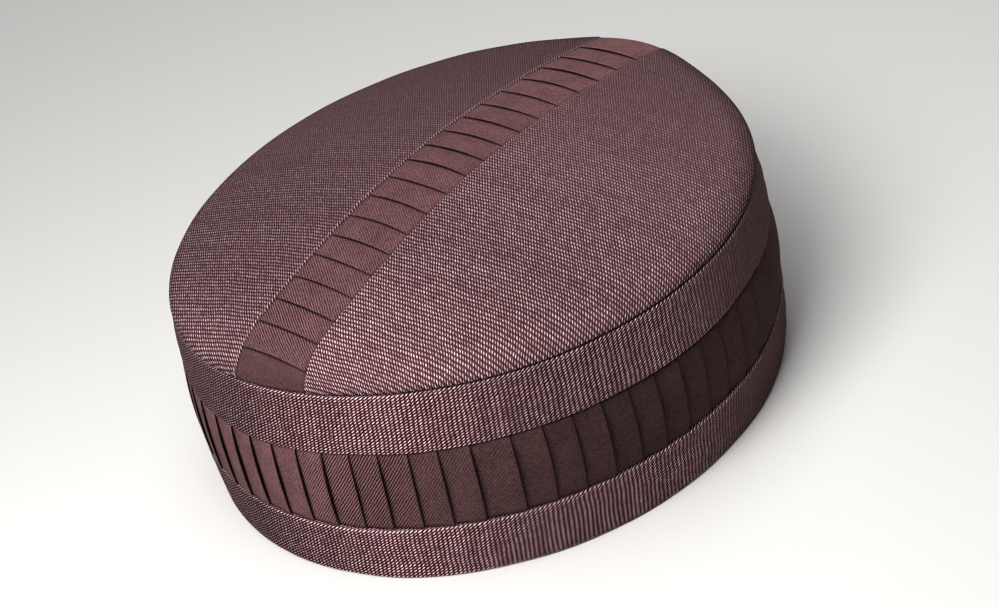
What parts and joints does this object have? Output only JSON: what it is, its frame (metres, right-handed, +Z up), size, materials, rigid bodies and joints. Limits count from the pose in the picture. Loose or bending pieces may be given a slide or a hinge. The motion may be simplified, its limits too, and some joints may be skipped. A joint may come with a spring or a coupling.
{
  "type": "prayer cap",
  "caption": "Flat-crowned cloth prayer cap with an upright side wall; a knife-pleated tape runs over the crown and round the side.",
  "frame": {"origin": "middle of the cap's box in plan, on the plane that the rim stands on", "axes": "+Z up through the crown, -Y towards the wearer's front, +X towards the wearer's left; the crown tape runs along Y"},
  "size_m": [0.1896, 0.1926, 0.0784],
  "materials": {
    "crown_panel_left": "matt two-tone hopsack, rose thread on dark brown",
    "crown_panel_right": "matt two-tone hopsack, rose thread on dark brown",
    "crown_tape": "matt mauve-brown twill tape, knife-pleated",
    "upper_band": "matt two-tone hopsack, rose thread on dark brown",
    "side_tape": "matt mauve-brown twill tape, knife-pleated",
    "lower_band": "matt two-tone hopsack, rose thread on dark brown"
  },
  "bodies": {
    "root": {"crown_panel_left": "crown_panel_left", "crown_panel_right": "crown_panel_right", "crown_tape": "crown_tape", "upper_band": "upper_band", "side_tape": "side_tape", "lower_band": "lower_band"}
  },
  "joints": []
}
